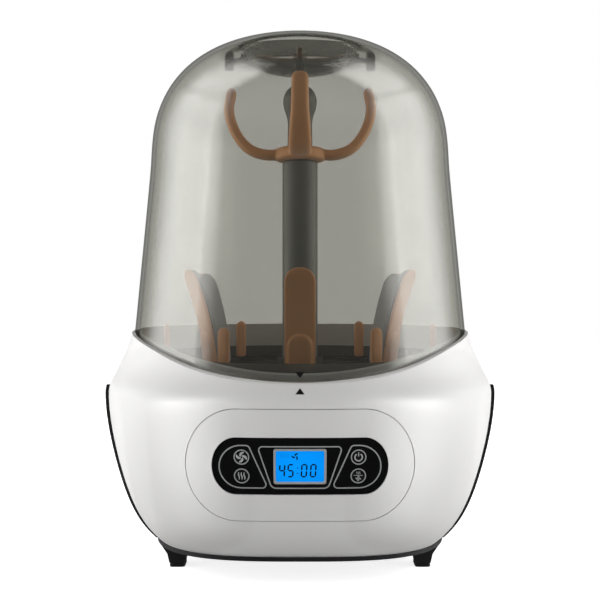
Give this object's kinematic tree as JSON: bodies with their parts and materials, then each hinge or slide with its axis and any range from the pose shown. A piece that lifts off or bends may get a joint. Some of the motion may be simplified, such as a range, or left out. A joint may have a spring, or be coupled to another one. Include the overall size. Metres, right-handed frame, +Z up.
{
  "type": "bottle sterilizer",
  "caption": "Countertop bottle steriliser and dryer with a smoked lift-off dome, two-level drying rack, steam heater base and control panel.",
  "frame": {"origin": "on the surface it stands on, under the dome's axis", "axes": "+Z up, -Y towards the control panel (front), +X to the right seen from the front"},
  "size_m": [0.2836, 0.2658, 0.3905],
  "materials": {
    "smoke_dome": "smoked transparent plastic, glossy",
    "smoke_dark": "dark smoked plastic",
    "smoke_tray": "smoked translucent plastic",
    "white_shell": "gloss white moulded plastic",
    "black_shell": "gloss black moulded plastic",
    "black_matte": "fine textured black plastic",
    "black_rubber": "matt black rubber",
    "steel": "zinc plated",
    "grey_plastic": "light grey heat resistant plastic",
    "silicone_grey": "grey silicone",
    "stainless": "spun stainless steel",
    "aluminium": "bare aluminium",
    "element_steel": "dark steel sheath",
    "ceramic_white": "unglazed ceramic",
    "window_black": "high gloss black",
    "silver_trim": "satin silver",
    "lcd_blue": "backlit blue display",
    "button_black": "gloss black key",
    "board_green": "circuit board laminate",
    "filter_paper": "pleated filter paper",
    "pole_grey": "dark grey plastic, satin",
    "peg_grey": "mid grey plastic",
    "peach_silicone": "orange silicone, satin"
  },
  "bodies": {
    "base": {"air_duct": "black_matte", "bottom_plate": "black_matte", "chamber_well": "grey_plastic", "control_board": "board_green", "fan_housing": "black_matte", "fan_motor": "steel", "foot_pads": "black_rubber", "heat_spreader": "aluminium", "heating_element": "element_steel", "heating_plate": "stainless", "housing_screws": "steel", "lcd_frame": "silver_trim", "lcd_module": "black_matte", "lcd_screen": "lcd_blue", "main_housing": "white_shell", "mains_cord": "black_rubber", "mains_plug": "black_rubber", "panel_bezel": "white_shell", "panel_screws": "steel", "panel_window": "window_black", "plate_gasket": "silicone_grey", "power_board": "board_green", "ptc_heater": "aluminium", "rear_housing": "black_shell", "strain_relief": "black_rubber", "tact_switches": "black_matte", "thermal_fuse": "ceramic_white", "thermostat": "ceramic_white"},
    "lower_rack": {"rack_tray": "smoke_tray", "rack_pole": "pole_grey", "pole_screw": "steel", "peg_cores": "peg_grey", "peg_pads": "peach_silicone", "guard_pegs": "peach_silicone"},
    "upper_rack": {"accessory_rack": "peach_silicone", "rack_knob": "pole_grey"},
    "lid": {"lid_dome": "smoke_dome", "handle_cup": "smoke_dark", "handle_screw": "steel"},
    "filter_drawer": {"filter_cover": "black_shell", "filter_frame": "grey_plastic", "hepa_media": "filter_paper"},
    "fan_rotor": {"fan_impeller": "black_matte"},
    "fan_key": {"fan_button": "button_black"},
    "steam_key": {"steam_button": "button_black"},
    "power_key": {"power_button": "button_black"},
    "auto_key": {"auto_button": "button_black"}
  },
  "joints": [
    {"name": "lower_rack_lift", "type": "slide", "parent": "base", "child": "lower_rack", "axis": [0, 0, 1], "range_m": [0, 0.12]},
    {"name": "upper_rack_lift", "type": "slide", "parent": "lower_rack", "child": "upper_rack", "axis": [0, 0, 1], "range_m": [0, 0.08]},
    {"name": "lid_lift", "type": "slide", "parent": "upper_rack", "child": "lid", "axis": [0, 0, 1], "range_m": [0, 0.26]},
    {"name": "filter_pull", "type": "slide", "parent": "base", "child": "filter_drawer", "axis": [0, 1, 0], "range_m": [0, 0.05]},
    {"name": "fan_spin", "type": "hinge", "parent": "base", "child": "fan_rotor", "pos_m": [0, 0.076, 0.062], "axis": [0, 1, 0], "continuous": true},
    {"name": "fan_button_press", "type": "slide", "parent": "base", "child": "fan_key", "axis": [0, 1, 0], "range_m": [0, 0.0008]},
    {"name": "steam_button_press", "type": "slide", "parent": "base", "child": "steam_key", "axis": [0, 1, 0], "range_m": [0, 0.0008]},
    {"name": "power_button_press", "type": "slide", "parent": "base", "child": "power_key", "axis": [0, 1, 0], "range_m": [0, 0.0008]},
    {"name": "auto_button_press", "type": "slide", "parent": "base", "child": "auto_key", "axis": [0, 1, 0], "range_m": [0, 0.0008]}
  ]
}
